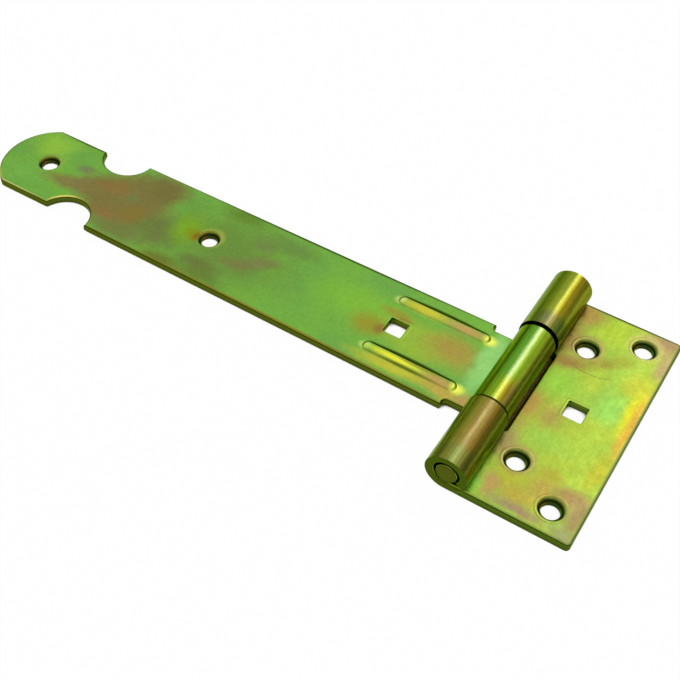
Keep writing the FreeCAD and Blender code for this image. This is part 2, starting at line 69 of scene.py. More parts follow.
class Wire:
    # one value on its way through a node tree; sums on it add Math nodes
    def __init__(self, sheet, socket):
        self.sheet = sheet
        self.socket = socket

    def maths(self, operation, *others):
        return self.sheet.node("ShaderNodeMath", {"operation": operation}, dict(enumerate([self, *others])))

    def behind(self, operation, first):
        return self.sheet.node("ShaderNodeMath", {"operation": operation}, {0: first, 1: self})

    def __add__(self, other):
        return self.maths("ADD", other)

    def __radd__(self, other):
        return self.behind("ADD", other)

    def __sub__(self, other):
        return self.maths("SUBTRACT", other)

    def __rsub__(self, other):
        return self.behind("SUBTRACT", other)

    def __mul__(self, other):
        return self.maths("MULTIPLY", other)

    def __rmul__(self, other):
        return self.behind("MULTIPLY", other)

    def __truediv__(self, other):
        return self.maths("DIVIDE", other)

    def __rtruediv__(self, other):
        return self.behind("DIVIDE", other)

    def __pow__(self, other):
        return self.maths("POWER", other)

    def __abs__(self):
        return self.maths("ABSOLUTE")


class Sheet:
    # the node sheet of one material, of the world or of a geometry group
    def __init__(self, owner):
        if isinstance(owner, bpy.types.NodeTree):
            self.tree = owner
        else:
            owner.use_nodes = True
            self.tree = owner.node_tree
        self.tree.nodes.clear()

    def node(self, kind, settings=None, sockets=None, output=0):
        made = self.tree.nodes.new(kind)
        for name, choice in (settings or {}).items():
            if name == "stops":
                self.setStops(made.color_ramp, choice)
            else:
                setattr(made, name, choice)
        for key, given in (sockets or {}).items():
            if isinstance(given, Wire):
                self.tree.links.new(given.socket, made.inputs[key])
            else:
                made.inputs[key].default_value = given
        return Wire(self, made.outputs[output]) if made.outputs else made

    def setStops(self, ramp, stops):
        ramp.interpolation = "EASE"
        while len(ramp.elements) < len(stops):
            ramp.elements.new(1)
        for element, (place, colour) in zip(ramp.elements, stops):
            element.position = place
            element.color = (*colour, 1)

    def noise(self, where, pattern, output=0):
        # a pattern is the width of one cloud in millimetres, the detail and the roughness
        size, detail, rough = pattern
        return self.node(
            "ShaderNodeTexNoise", {"noise_dimensions": "3D"},
            {"Vector": where, "Scale": 1 / (size * mm), "Detail": detail, "Roughness": rough}, output)

    def sway(self, where, pattern):
        # noise that swings about 0
        return self.noise(where, pattern) - 0.5

    def ease(self, value, low, high, toLow=0.0, toHigh=1.0):
        return self.node(
            "ShaderNodeMapRange", {"interpolation_type": "SMOOTHSTEP"},
            {"Value": value, "From Min": low, "From Max": high, "To Min": toLow, "To Max": toHigh})

    def fade(self, value, low, high):
        # 1 up to low, 0 from high on
        return self.ease(value, low, high, 1.0, 0.0)

    def mix(self, factor, first, second):
        return self.node(
            "ShaderNodeMix", {"data_type": "RGBA", "clamp_factor": True},
            {"Factor": factor, "A": first, "B": second}, "Result")

    def ramp(self, value, stops):
        # stops are places with colours as a picture shows them
        light = [(place, linear(colour)) for place, colour in stops]
        return self.node("ShaderNodeValToRGB", {"stops": light}, {0: value})

    def moved(self, where, place=(0, 0, 0), turn=0.0, size=(1, 1, 1)):
        # where, as seen from a place, turned round Z and measured in sizes
        return self.node(
            "ShaderNodeMapping", {"vector_type": "TEXTURE"},
            {"Vector": where, "Location": place, "Rotation": (0, 0, math.radians(turn)), "Scale": size})

    def parts(self, vector):
        # a vector's three numbers
        split = self.node("ShaderNodeSeparateXYZ", {}, {0: vector})
        return [Wire(self, split.socket.node.outputs[axis]) for axis in "XYZ"]

    def vector(self, operation, *sockets, output=0):
        return self.node("ShaderNodeVectorMath", {"operation": operation}, dict(enumerate(sockets)), output)


def linear(colour):
    # a colour as a picture shows it, 0 to 255, as the light that Blender works in
    shares = [level / 255 for level in colour]
    return [share / 12.92 if share <= 0.04045 else ((share + 0.055) / 1.055) ** 2.4 for share in shares]


def opaque(colour):
    return (*linear(colour), 1)


# Chromate film: zinc plating whose colour follows the film's thickness, with painted highlights, reflections and
# shade laid on it

oval = {
    "core": 0.15,  # full colour up to here, in half sizes of the oval, where a patch has no core of its own
    "edge": 1.15,  # faded out from here on
    "depth": 100,  # half size straight down in millimetres, far more than the sheet
    "scratchEnd": 0.6,  # where a scratch starts to fade
}


def fromOval(sheet, where, spot):
    # how far a point is from the middle of an oval, in half sizes of the oval
    (across, along), (wide, deep) = spot["at"], spot["size"]
    local = sheet.moved(
        where, (across * mm, along * mm, 0), spot.get("turn", 0),
        (wide * mm, deep * mm, oval["depth"] * mm))
    return sheet.vector("LENGTH", local, output="Value")


def patched(sheet, colour, where, fray, patches):
    # lays soft ovals of other colours on a colour, each with its place and half sizes in millimetres
    for patch in patches:
        distance = fromOval(sheet, where, patch) + fray
        core, share = patch.get("core", oval["core"]), patch.get("share", 1.0)
        cover = sheet.ease(distance, core, oval["edge"], share, 0.0)
        colour = sheet.mix(cover, colour, opaque(patch["colour"]))
    return colour


def scratched(sheet, colour, where, scratches):
    # thin curved scratches: the part of a circle that lies in a soft oval
    for scratch in scratches:
        across, along = scratch["middle"]
        fromMiddle = sheet.vector("LENGTH", sheet.moved(where, (across * mm, along * mm, 0)), output="Value")
        line = sheet.fade(abs(fromMiddle - scratch["radius"] * mm), 0.0, scratch["width"] * mm)
        near = sheet.ease(fromOval(sheet, where, scratch), oval["scratchEnd"], 1.0, scratch["share"], 0.0)
        colour = sheet.mix(line * near, colour, opaque(scratch["colour"]))
    return colour


class Surface:
    # what every layer of the coat reads: the place, the way a face looks, the barrel and the fray of edges
    def __init__(self, sheet, look):
        self.where = sheet.node("ShaderNodeTexCoord", output="Object")
        facing = sheet.node("ShaderNodeTexCoord", output="Normal")
        self.across, self.along, self.up = sheet.parts(self.where)
        self.faceAcross, self.faceAlong, faceUp = sheet.parts(facing)
        self.faceUp = abs(faceUp)
        self.fray = sheet.sway(self.where, look["frayNoise"]) * look["fray"]
        lift = self.up - pinHeight * mm
        self.fromAxis = (self.across * self.across + lift * lift) ** 0.5
        self.angle = lift.maths("ARCTAN2", self.across)
        skin = barrel["skin"]
        self.rolled = sheet.fade(self.fromAxis, skin * mm, (skin + barrel["blend"]) * mm)


def cloudedFilm(sheet, look, at):
    # clouds whose edges wander, with patches and scratches on them, and spots that are partly the film's own and
    # mostly painted highlights, reflections and shade
    wandering = sheet.noise(at.where, look["wanderNoise"], output="Color")
    wander = sheet.vector("SUBTRACT", wandering, (0.5, 0.5, 0.5))
    wandered = sheet.vector("MULTIPLY_ADD", wander, (look["wander"] * mm,) * 3, at.where)
    film = sheet.sway(wandered, look["cloudNoise"]) * look["cloud"] + look["film"]
    film = film + sheet.sway(at.where, look["speckNoise"]) * look["speck"]
    colour = sheet.ramp(film, look["stops"])
    colour = patched(sheet, colour, wandered, at.fray, look["patches"])
    colour = patched(sheet, colour, at.where, at.fray * look["fineFray"], look["spotsAndPaintedLight"])
    return scratched(sheet, colour, at.where, look["scratches"])


def barrelTintsSheenAndShade(sheet, look, at, colour):
    # painted reflections, highlight streaks and shade round the barrel, laid on film tints that change from one
    # knuckle to the next
    turn = at.angle / math.pi + at.fray * barrel["turnFray"]
    drift = at.along + at.fray * (barrel["driftFray"] * mm)
    for knuckle in look["knuckles"]:
        start, blend = knuckle["from"] * mm, knuckle["blend"] * mm
        here = sheet.ease(drift, start - blend, start + blend) * at.rolled
        # the first colour comes back at the end, so the ramp closes behind the barrel
        closed = knuckle["stops"] + [(barrel["closed"], knuckle["stops"][0][1])]
        colour = sheet.mix(here, colour, sheet.ramp(turn, closed))
    return colour


def millLines(sheet, look, at):
    # lines from the rolling mill along each leaf
    drawn = sheet.moved(at.where, turn=look["drawTurn"], size=(look["drawLength"], 1, 1))
    return sheet.noise(drawn, look["drawNoise"])


def shadeOf(sheet, look, at, lines):
    # how light each place is: mill lines, the barrel's own lines along it, and specks
    unrolled = sheet.node(
        "ShaderNodeCombineXYZ", {}, {0: at.angle * (barrel["skin"] * mm), 1: at.along / look["rollLength"]})
    rollLines = sheet.noise(unrolled, look["rollNoise"])
    shade = sheet.ease(lines, *look["lineSpan"], 1 - look["drawDepth"], 1 + look["drawDepth"])
    rollShade = sheet.ease(rollLines, *look["lineSpan"], -look["rollDepth"], look["rollDepth"])
    shade = shade + rollShade * at.rolled
    specks = sheet.noise(at.where, look["speckleNoise"])
    return shade * sheet.ease(specks, *look["speckleSpan"], 1 - look["speckle"], 1 + look["speckle"])


def pressedBeads(sheet, look, at, colour):
    # painted shade on each bead's far side and painted highlights on its ends; flat is 1 where there is neither
    # bead nor barrel
    flat = 1 - at.rolled
    (halfAcross, halfAlong), (edgeAcross, edgeAlong) = bead["half"], bead["edge"]
    for middleAcross, middleAlong in look["beads"]:
        beside = sheet.moved(at.where, (middleAcross * mm, middleAlong * mm, 0))
        across, along = [abs(part) for part in sheet.parts(beside)[:2]]
        within = sheet.fade(across, (halfAcross - edgeAcross) * mm, halfAcross * mm)
        within = within * sheet.fade(along, (halfAlong - edgeAlong) * mm, halfAlong * mm)
        flat = flat * (1 - within)
        middlePart = sheet.fade(across, *[(halfAcross - inwards) * mm for inwards in bead["ends"]])
        # painted shade on the far side
        farSide = sheet.ease(at.faceAlong, *bead["farFacing"]) * within * middlePart
        colour = sheet.mix(farSide * bead["dark"], colour, opaque(bead["farShadeColour"]))
        # painted highlight on the ends
        paleEndHighlight = sheet.ease(abs(at.faceAcross), *bead["endFacing"]) * within * bead["pale"]
        colour = sheet.mix(paleEndHighlight, colour, opaque(bead["endHighlightColour"]))
    return colour, flat


def rimsAndWalls(sheet, look, at, flat, colour):
    # painted reflections on rims, darker on the far side; painted shade on cut and hole walls; painted glints on
    # rounded edges
    fray = at.fray * look["fineFray"]
    # painted reflection on the rims: one colour on the near side, a darker one on the far side
    farSide = sheet.ease(at.faceAlong, *look["sideSpan"])
    rimShade = sheet.mix(farSide, opaque(look["nearRim"]), opaque(look["farRim"]))
    rim = sheet.fade(at.faceUp, *look["rimSpan"]) * flat
    colour = sheet.mix(rim * look["rim"], colour, rimShade)
    # painted shade on the cut walls, darker towards the bottom
    height = sheet.ease(at.up, 0.0, frontHeight * mm)
    wallShade = sheet.mix(height, opaque(look["wallLow"]), opaque(look["wallHigh"]))
    wall = sheet.fade(at.faceUp, *look["wallSpan"]) * flat
    colour = sheet.mix(wall * look["wall"], colour, wallShade)
    # painted shade and painted reflections on the walls of the holes
    colour = sheet.mix(wall, colour, patched(sheet, colour, at.where, fray, look["holeWallShade"]))
    # painted highlights (glints) on the rounded edges
    rounded = sheet.ease(at.faceUp, *look["glintFrom"]) * sheet.fade(at.faceUp, *look["glintTo"]) * flat
    glinting = patched(sheet, colour, at.where, fray, look["glints"])
    return sheet.mix(rounded, colour, glinting)


def knuckleEnds(sheet, look, at, colour):
    # the knuckles' ends: outer ends take their end colour; ends that face each other and the inside of the bore
    # get painted shade
    end = sheet.ease(abs(at.faceAlong), *barrel["endFacing"]) * at.rolled
    outer = sheet.ease(abs(at.along), *[edge * mm for edge in barrel["outerEnd"]])
    colour = sheet.mix(end, colour, sheet.mix(outer, opaque(barrel["shade"]), opaque(look["endColour"])))
    inside = sheet.fade(at.fromAxis, look["boreSkin"] * mm, (look["boreSkin"] + barrel["boreBlend"]) * mm)
    return sheet.mix(inside, colour, opaque(barrel["shade"]))


def passivatedZinc(name, look):
    material = bpy.data.materials.new(name)
    sheet = Sheet(material)
    at = Surface(sheet, look)
    colour = cloudedFilm(sheet, look, at)
    colour = barrelTintsSheenAndShade(sheet, look, at, colour)
    lines = millLines(sheet, look, at)
    shade = shadeOf(sheet, look, at, lines)
    colour = sheet.node("ShaderNodeVectorMath", {"operation": "SCALE"}, {0: colour, "Scale": shade})
    colour, flat = pressedBeads(sheet, look, at, colour)
    colour = rimsAndWalls(sheet, look, at, flat, colour)
    colour = knuckleEnds(sheet, look, at, colour)

    grain = sheet.noise(at.where, look["grainNoise"])
    waves = sheet.noise(at.where, look["waveNoise"])
    height = grain * look["grain"] + lines * look["grain"] + waves * look["waves"]
    bump = sheet.node("ShaderNodeBump", {}, {"Height": height, "Distance": 1 * mm, "Strength": 1.0})
    rough = sheet.ease(sheet.noise(at.where, look["roughNoise"]), *look["roughSpan"], *look["rough"])
    shader = sheet.node("ShaderNodeBsdfPrincipled", {}, {
        "Base Color": colour, "Metallic": look["metallic"], "Roughness": rough, "Normal": bump,
        "Specular Tint": look["edgeTint"]})
    sheet.node("ShaderNodeOutputMaterial", {}, {"Surface": shader})
    print("zinc", name, len(sheet.tree.nodes), "nodes")
    return material


# sizes are in millimetres, and a facing is how far a face looks that way, where an effect starts and is full
barrel = {
    "skin": 7.2, "blend": 0.5,  # what is nearer to the pin's axis is barrel, and how softly that ends
    "turnFray": 0.04, "driftFray": 2,  # how far a fray of 1 moves the colours: half turns, millimetres
    "closed": 0.96,  # where the colours are back at the first one, in half turns
    "endFacing": (0.6, 0.9), "outerEnd": (40, 42),  # ends that are further along the pin are the outermost
    # shade is the painted shade on knuckle ends that face each other and inside the bores
    "boreBlend": 0.3, "shade": (31, 42, 24),
}

bead = {
    "half": (19.5, 3.2), "edge": (0.5, 0.3),  # half sizes, and how wide their soft edges are
    "ends": (6, 3),  # the dark side fades out between these distances from an end
    # painted shade on the far side of each bead and painted highlights on its ends
    "farFacing": (0.06, 0.30), "dark": 0.9, "farShadeColour": (62, 86, 14),
    "endFacing": (0.10, 0.30), "pale": 0.55, "endHighlightColour": (196, 212, 84),
}

# a noise is a pattern for Sheet.noise, and a span is the two values that an effect eases between
sheetLook = {
    "wander": 6, "wanderNoise": (13, 5, 0.6),  # clouds wander within so many millimetres
    "fray": 0.42, "frayNoise": (5, 4, 0.7), "fineFray": 0.3,  # fineFray is the share for small spots
    "film": 0.45, "cloudNoise": (20, 3, 0.5), "speck": 0.22, "speckNoise": (2.2, 4, 0.7),
    "drawLength": 30, "drawDepth": 0.02, "drawNoise": (0.5, 2, 0.6),  # lines are 30 times longer than wide
    "rollLength": 25, "rollDepth": 0.09, "rollNoise": (0.7, 2, 0.6),  # the same on the barrel, 25 times
    "lineSpan": (0.3, 0.7),  # for both kinds of line
    "speckle": 0.07, "speckleNoise": (1.1, 3, 0.7), "speckleSpan": (0.25, 0.75),
    # strengths of the painted rim reflections and wall shade, and where they and the painted glints lie by facing
    "rim": 0.85, "rimSpan": (0.80, 0.995), "sideSpan": (-0.05, 0.05),
    "wall": 0.94, "wallSpan": (0.62, 0.92),
    "glintFrom": (0.55, 0.7), "glintTo": (0.95, 0.995),
    "boreSkin": 4.2,  # what is nearer to the pin's axis is inside a bore
    "grain": 0.012, "grainNoise": (0.35, 3, 0.6), "waves": 0.2, "waveNoise": (9, 2, 0.5),  # bumps
    "rough": (0.22, 0.32), "roughNoise": (4, 4, 0.65), "roughSpan": (0.3, 0.7),
    "metallic": 1.0, "edgeTint": (0.62, 0.72, 0.42, 1),
    "scratches": [], "beads": [],  # a leaf that has them lists them itself
}


def paintedHoleShadeOf(holes, reach):
    # painted shade on the walls of the screw holes, with painted reflections brown on one side and green on the
    # other
    holeWallShade = []
    for across, along in holes:
        holeWallShade += [
            {"at": (across, along), "size": (reach, reach), "colour": (40, 56, 18), "core": 0.9,
             "share": 0.85},
            {"at": (across - 3.3, along + 0.6), "size": (1.8, 2.6), "colour": (92, 72, 26), "share": 0.8},
            {"at": (across + 3.1, along + 0.8), "size": (1.8, 2.6), "colour": (60, 104, 24), "share": 0.8},
        ]
    return holeWallShade


strapLook = {
    **sheetLook, "fray": 0.5, "cloud": 1.1, "drawTurn": 0, "holeWallShade": paintedHoleShadeOf(strapScrews, 4.6),
    # painted reflections on the rims, near and far side, and painted shade on the cut walls, darker towards the
    # bottom
    "nearRim": (150, 136, 50), "farRim": (72, 106, 26), "wallHigh": (80, 100, 20), "wallLow": (58, 74, 20),
    "endColour": (76, 96, 26),
    "stops": [
        (0.00, (102, 150, 78)),
        (0.30, (112, 168, 74)),
        (0.55, (118, 174, 68)),
        (0.80, (126, 180, 64)),
        (1.00, (120, 156, 64)),
    ],
    "patches": [
        {"at": (-197, 9), "size": (14, 10), "colour": (150, 198, 68), "share": 0.8},
        {"at": (-199, -9), "size": (13, 8), "colour": (120, 178, 78), "share": 0.8},
        {"at": (-185, 8), "size": (9, 8), "colour": (112, 168, 76), "share": 0.8},
        {"at": (-112, -1), "size": (36, 22), "colour": (108, 142, 62), "share": 0.9},
        {"at": (-179.3, 4), "size": (5, 3.6), "colour": (119, 136, 86)},
        {"at": (-180, -4.8), "size": (14, 4.6), "turn": 9, "colour": (133, 127, 73), "core": 0.3},
        {"at": (-170, -1.5), "size": (10, 7), "colour": (136, 121, 74), "core": 0.3},
        {"at": (-157, -1), "size": (20, 16), "colour": (128, 119, 66), "core": 0.55},
        {"at": (-148, 12), "size": (12, 9), "colour": (121, 115, 63), "core": 0.4},
        {"at": (-150, -14), "size": (14, 7), "colour": (117, 128, 67), "core": 0.3},
        {"at": (-165, 2.5), "size": (9, 5), "colour": (140, 115, 63)},
        {"at": (-148.5, -5), "size": (8, 6), "colour": (134, 117, 55)},
        {"at": (-157.5, -10), "size": (10, 4), "colour": (139, 116, 65)},
        {"at": (-156, 1), "size": (4, 3), "colour": (115, 129, 76), "share": 0.7},
        {"at": (-137, -7), "size": (11, 11), "colour": (110, 126, 65), "core": 0.3},
        {"at": (-128.5, -0.5), "size": (9.5, 9.5), "colour": (123, 168, 46)},
        {"at": (-128, -18), "size": (12, 4), "colour": (110, 124, 52)},
        {"at": (-112, -17), "size": (12, 4.5), "colour": (105, 130, 56)},
        {"at": (-115, 16), "size": (12, 5), "colour": (103, 138, 52)},
        {"at": (-104, -5), "size": (11, 4), "turn": 15, "colour": (122, 126, 70)},
        {"at": (-97, 0), "size": (10, 4), "turn": 20, "colour": (122, 132, 74)},
        {"at": (-101, 8), "size": (7, 4), "colour": (116, 138, 72)},
        {"at": (-116, -13), "size": (12, 4), "colour": (108, 124, 62)},
        {"at": (-92, 12), "size": (14, 5), "colour": (108, 144, 68)},
        {"at": (-60, 3), "size": (18, 11), "colour": (130, 187, 60), "share": 0.8},
        {"at": (-33, -1), "size": (20, 10), "colour": (148, 182, 62), "core": 0.4},
        {"at": (-22, 1), "size": (13, 9), "colour": (168, 146, 70), "share": 0.9},
        {"at": (-34, -16.2), "size": (20, 3.4), "colour": (190, 190, 62)},
        {"at": (-17, -16), "size": (11, 4.5), "colour": (186, 166, 76)},
        {"at": (-10.5, 3), "size": (4.5, 19), "colour": (144, 202, 110), "core": 0.4},
        {"at": (-9, -16), "size": (5.5, 5), "colour": (176, 150, 86)},
    ],
    # painted highlight halos round the holes, painted colours on the hole walls and the square hole's rims,
    # painted shade and reflection lines along the edges, and painted highlights and shade on the beads
    "spotsAndPaintedLight": [
        {"at": (-119.2, 0.4), "size": (4.9, 4.9), "colour": (156, 172, 76), "core": 0.86, "share": 0.75},
        {"at": (-193.6, 0.3), "size": (4.9, 4.9), "colour": (140, 178, 80), "core": 0.86, "share": 0.6},
        {"at": (-126, -1.6), "size": (4.2, 4.4), "colour": (134, 142, 30), "share": 0.8},
        {"at": (-124.2, -2), "size": (1.9, 3.2), "colour": (138, 104, 30), "share": 0.9},
        {"at": (-76, 19.1), "size": (72, 1.3), "turn": 0.37, "colour": (62, 92, 26), "core": 0.5},
        {"at": (-76, -19.8), "size": (68, 0.8), "turn": -0.37, "colour": (134, 118, 34), "core": 0.4,
         "share": 0.8},
        {"at": (-188, 16.6), "size": (18, 1.3), "colour": (62, 92, 26), "core": 0.5},
        {"at": (-51.5, -4), "size": (8.5, 6.5), "colour": (150, 150, 50)},
        {"at": (-47.4, -3.8), "size": (2.6, 3.4), "colour": (146, 120, 57)},
        {"at": (-45.5, 5.4), "size": (8, 2.6), "colour": (150, 154, 57)},
        {"at": (-42, 4.2), "size": (4, 1.2), "colour": (152, 130, 58), "share": 0.8},
        {"at": (-38, 11.4), "size": (13, 2.6), "colour": (204, 196, 62)},
        {"at": (-22, 11.2), "size": (11, 2.2), "colour": (190, 158, 92)},
        {"at": (-36, -12.7), "size": (14, 1.7), "colour": (232, 232, 60)},
        {"at": (-20, -13), "size": (7, 1.8), "colour": (190, 156, 90)},
        {"at": (-27, -11.6), "size": (12, 1.1), "colour": (150, 156, 56)},
        {"at": (-32, -14.3), "size": (14, 0.7), "colour": (112, 122, 34)},
        {"at": (-32, 14.2), "size": (16, 0.9), "colour": (64, 88, 16), "core": 0.4},
        {"at": (-32, -10.0), "size": (16, 0.9), "colour": (64, 88, 16), "core": 0.4},
        {"at": (-13.6, 11.6), "size": (3.2, 2.8), "colour": (236, 244, 96)},
        {"at": (-13.4, -12.6), "size": (3.2, 2.8), "colour": (236, 244, 90)},
        {"at": (-47.8, 11.6), "size": (2.6, 2), "colour": (196, 226, 132)},
        {"at": (-47.8, -12.6), "size": (2.6, 2), "colour": (186, 224, 112)},
    ],
    "beads": [(-31, 11.7), (-31, -12.5)],
    # painted highlights on the rounded near edges of the head
    "glints": [
        {"at": (-198, -14), "size": (20, 6), "colour": (232, 234, 130), "share": 0.95},
        {"at": (-177, -12), "size": (10, 6), "colour": (226, 220, 110), "share": 0.9},
    ],
    # painted reflections, a painted highlight streak and painted shade round the knuckle, on the film's tints; the
    # plain dark stretch is painted shade beside the plate's knuckle
    "knuckles": [
        {"from": -30, "blend": 0.1, "stops": [(0.00, (52, 64, 20)), (0.80, (52, 64, 20))]},
        {"from": -17.45, "blend": 0.15, "stops": [
            (0.00, (145, 160, 60)), (0.13, (131, 150, 34)), (0.24, (108, 112, 30)),
            (0.30, (152, 134, 64)), (0.36, (142, 122, 28)), (0.40, (168, 158, 36)),
            (0.44, (202, 202, 84)), (0.47, (204, 208, 94)), (0.50, (164, 186, 60)),
            (0.54, (118, 152, 28)), (0.62, (116, 154, 32)), (0.67, (88, 120, 10)),
            (0.75, (108, 146, 18)), (0.83, (176, 218, 90)),
        ]},
        {"from": -8, "blend": 3.5, "stops": [
            (0.00, (140, 142, 56)), (0.13, (128, 132, 38)), (0.24, (112, 126, 30)),
            (0.30, (150, 172, 46)), (0.36, (126, 156, 28)), (0.40, (148, 184, 52)),
            (0.43, (180, 206, 108)), (0.47, (186, 206, 134)), (0.50, (150, 186, 106)),
            (0.53, (96, 154, 44)), (0.62, (94, 150, 40)), (0.67, (76, 118, 12)),
            (0.71, (108, 148, 30)), (0.78, (104, 144, 30)), (0.83, (140, 180, 90)),
        ]},
    ],
}

plateLook = {
    **sheetLook, "cloud": 0.8, "drawTurn": 90, "holeWallShade": paintedHoleShadeOf(plateScrews, 4.8),
    # painted reflections on the rims, near and far side, and painted shade on the cut walls, darker towards the
    # bottom
    "nearRim": (146, 162, 66), "farRim": (104, 112, 46), "wallHigh": (78, 102, 22), "wallLow": (56, 76, 22),
    "endColour": (68, 86, 22),
    "stops": [
        (0.00, (140, 182, 74)),
        (0.30, (148, 180, 68)),
        (0.60, (158, 178, 62)),
        (0.85, (164, 168, 62)),
        (1.00, (160, 152, 68)),
    ],
    "patches": [
        {"at": (20, 38), "size": (13, 8), "colour": (160, 184, 58)},
        {"at": (8.5, 42), "size": (9, 7), "colour": (162, 138, 70)},
        {"at": (7.5, 28), "size": (5, 15), "colour": (156, 138, 70)},
        {"at": (36, 43), "size": (10, 8), "colour": (146, 124, 86)},
        {"at": (39.5, 33), "size": (4.5, 10), "colour": (164, 145, 96)},
        {"at": (12, 18), "size": (8, 4.5), "turn": 10, "colour": (146, 124, 64)},
        {"at": (21.5, 23.5), "size": (8, 4), "turn": 35, "colour": (142, 134, 56), "share": 0.85},
        {"at": (27, 28.5), "size": (5, 4), "colour": (150, 160, 60)},
        {"at": (13, 8), "size": (9, 8), "colour": (144, 188, 66)},
        {"at": (30.5, 7), "size": (8, 9), "colour": (137, 186, 80)},
        {"at": (35, 20), "size": (6, 8), "colour": (170, 176, 58)},
        {"at": (38, 9), "size": (4, 15), "colour": (196, 194, 42)},
        {"at": (39.6, 4), "size": (2.6, 22), "colour": (190, 152, 60)},
        {"at": (17, -5.8), "size": (5.5, 7), "colour": (158, 140, 72), "share": 0.85},
        {"at": (9, -5), "size": (5, 9), "colour": (174, 144, 72)},
        {"at": (9, -14), "size": (4.5, 6), "colour": (168, 164, 76)},
        {"at": (8.2, -22), "size": (5, 9), "colour": (158, 146, 86)},
        {"at": (20, -15), "size": (12, 6), "colour": (150, 186, 72)},
        {"at": (30, -12), "size": (8, 10), "colour": (154, 180, 64)},
        {"at": (38, -17), "size": (4, 10), "colour": (164, 166, 52)},
        {"at": (17, -33), "size": (9, 6), "colour": (168, 172, 58)},
        {"at": (21, -38.5), "size": (9, 4.5), "colour": (172, 158, 66)},
        {"at": (26, -32), "size": (6, 7), "colour": (168, 150, 70)},
        {"at": (26, -26), "size": (6, 3.5), "colour": (164, 160, 60)},
        {"at": (11.5, -39), "size": (5, 5), "colour": (178, 148, 86)},
        {"at": (22, -43), "size": (12, 3.2), "colour": (153, 134, 94)},
        {"at": (6, -41), "size": (4.5, 8), "colour": (148, 202, 80)},
        {"at": (18, -46), "size": (18, 1.8), "colour": (146, 176, 76)},
        {"at": (35, -31), "size": (8, 5), "colour": (156, 129, 78)},
        {"at": (38.5, -36), "size": (5, 11), "colour": (150, 132, 84)},
        {"at": (38, -44), "size": (8, 4), "colour": (145, 150, 94)},
    ],
    # painted shade along the far end's edge and painted highlight halos round the holes
    "spotsAndPaintedLight": [
        {"at": (21, 45.6), "size": (26, 1.1), "colour": (84, 92, 36), "core": 0.6},
        {"at": (31, 37.4), "size": (6.6, 6.4), "colour": (186, 176, 104), "core": 0.72, "share": 0.6},
        {"at": (14.75, 27), "size": (6.4, 6.2), "colour": (158, 132, 84), "core": 0.72, "share": 0.6},
        {"at": (14.75, -26.4), "size": (6.4, 6.2), "colour": (166, 140, 88), "core": 0.72, "share": 0.6},
    ],
    "scratches": [
        {"at": (20, 17), "size": (9, 5), "middle": (19, 34), "radius": 17.5, "width": 0.26, "share": 0.7,
         "colour": (112, 112, 48)},
    ],
    # painted highlight along the plate's rounded right edge
    "glints": [
        {"at": (41, 0), "size": (3, 60), "colour": (168, 186, 104), "share": 0.9},
    ],
    # painted reflections, painted highlight streaks and painted shade round the knuckles, on the film's tints; the
    # plain dark stretch is painted shade beside the strap's knuckle
    "knuckles": [
        {"from": -60, "blend": 0.1, "stops": [
            (0.00, (125, 144, 30)), (0.13, (140, 145, 42)), (0.22, (108, 110, 34)),
            (0.30, (96, 96, 34)), (0.36, (130, 130, 56)), (0.40, (146, 150, 74)),
            (0.44, (149, 160, 90)), (0.49, (138, 150, 80)), (0.53, (125, 130, 57)),
            (0.60, (118, 123, 46)), (0.67, (110, 117, 36)), (0.76, (128, 140, 54)),
            (0.83, (150, 162, 110)),
        ]},
        {"from": -39, "blend": 2.5, "stops": [
            (0.00, (120, 136, 34)), (0.13, (124, 138, 36)), (0.24, (118, 120, 34)),
            (0.30, (112, 94, 26)), (0.35, (136, 110, 44)), (0.40, (158, 136, 68)),
            (0.44, (166, 147, 90)), (0.47, (158, 141, 84)), (0.51, (146, 128, 60)),
            (0.56, (133, 126, 44)), (0.62, (122, 126, 40)), (0.67, (119, 129, 30)),
            (0.76, (128, 150, 45)), (0.83, (172, 190, 126)),
        ]},
        {"from": -18.75, "blend": 0.15, "stops": [(0.00, (64, 68, 26)), (0.80, (64, 68, 26))]},
        {"from": 0, "blend": 0.1, "stops": [
            (0.00, (113, 135, 38)), (0.13, (122, 134, 48)), (0.20, (96, 112, 40)),
            (0.28, (100, 128, 42)), (0.35, (118, 118, 46)), (0.40, (162, 152, 86)),
            (0.43, (172, 166, 104)), (0.46, (128, 126, 78)), (0.52, (118, 125, 73)),
            (0.60, (98, 110, 38)), (0.70, (117, 140, 46)), (0.83, (152, 170, 108)),
        ]},
        {"from": 25, "blend": 2.5, "stops": [
            (0.00, (128, 124, 38)), (0.15, (130, 128, 38)), (0.22, (150, 158, 46)),
            (0.29, (138, 128, 28)), (0.34, (146, 132, 34)), (0.37, (143, 128, 18)),
            (0.40, (188, 178, 50)), (0.425, (216, 210, 82)), (0.45, (180, 182, 72)),
            (0.48, (142, 148, 52)), (0.54, (130, 148, 42)), (0.60, (112, 132, 28)),
            (0.67, (120, 144, 36)), (0.76, (120, 140, 60)), (0.83, (152, 170, 112)),
        ]},
    ],
}

pinLook = {
    **plateLook, "film": 0.5, "endColour": (80, 88, 28), "boreSkin": -1, "patches": [], "knuckles": [],
    "spotsAndPaintedLight": [], "scratches": [], "glints": [], "holeWallShade": [],
}


# Skins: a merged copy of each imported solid, with its flat faces joined and its corners eased

skinLook = {
    "mergeWithin": 0.002,  # points nearer than this become one, in millimetres
    "flatWithin": 0.2, "smoothWithin": 50,  # degrees between faces that are joined, and shaded as one
}


def placed(name, data):
    # a new object, in the scene
    made = bpy.data.objects.new(name, data)
    bpy.context.scene.collection.objects.link(made)
    return made


def isSmooth(edge):
    return len(edge.link_faces) == 2 and edge.calc_face_angle() < math.radians(skinLook["smoothWithin"])


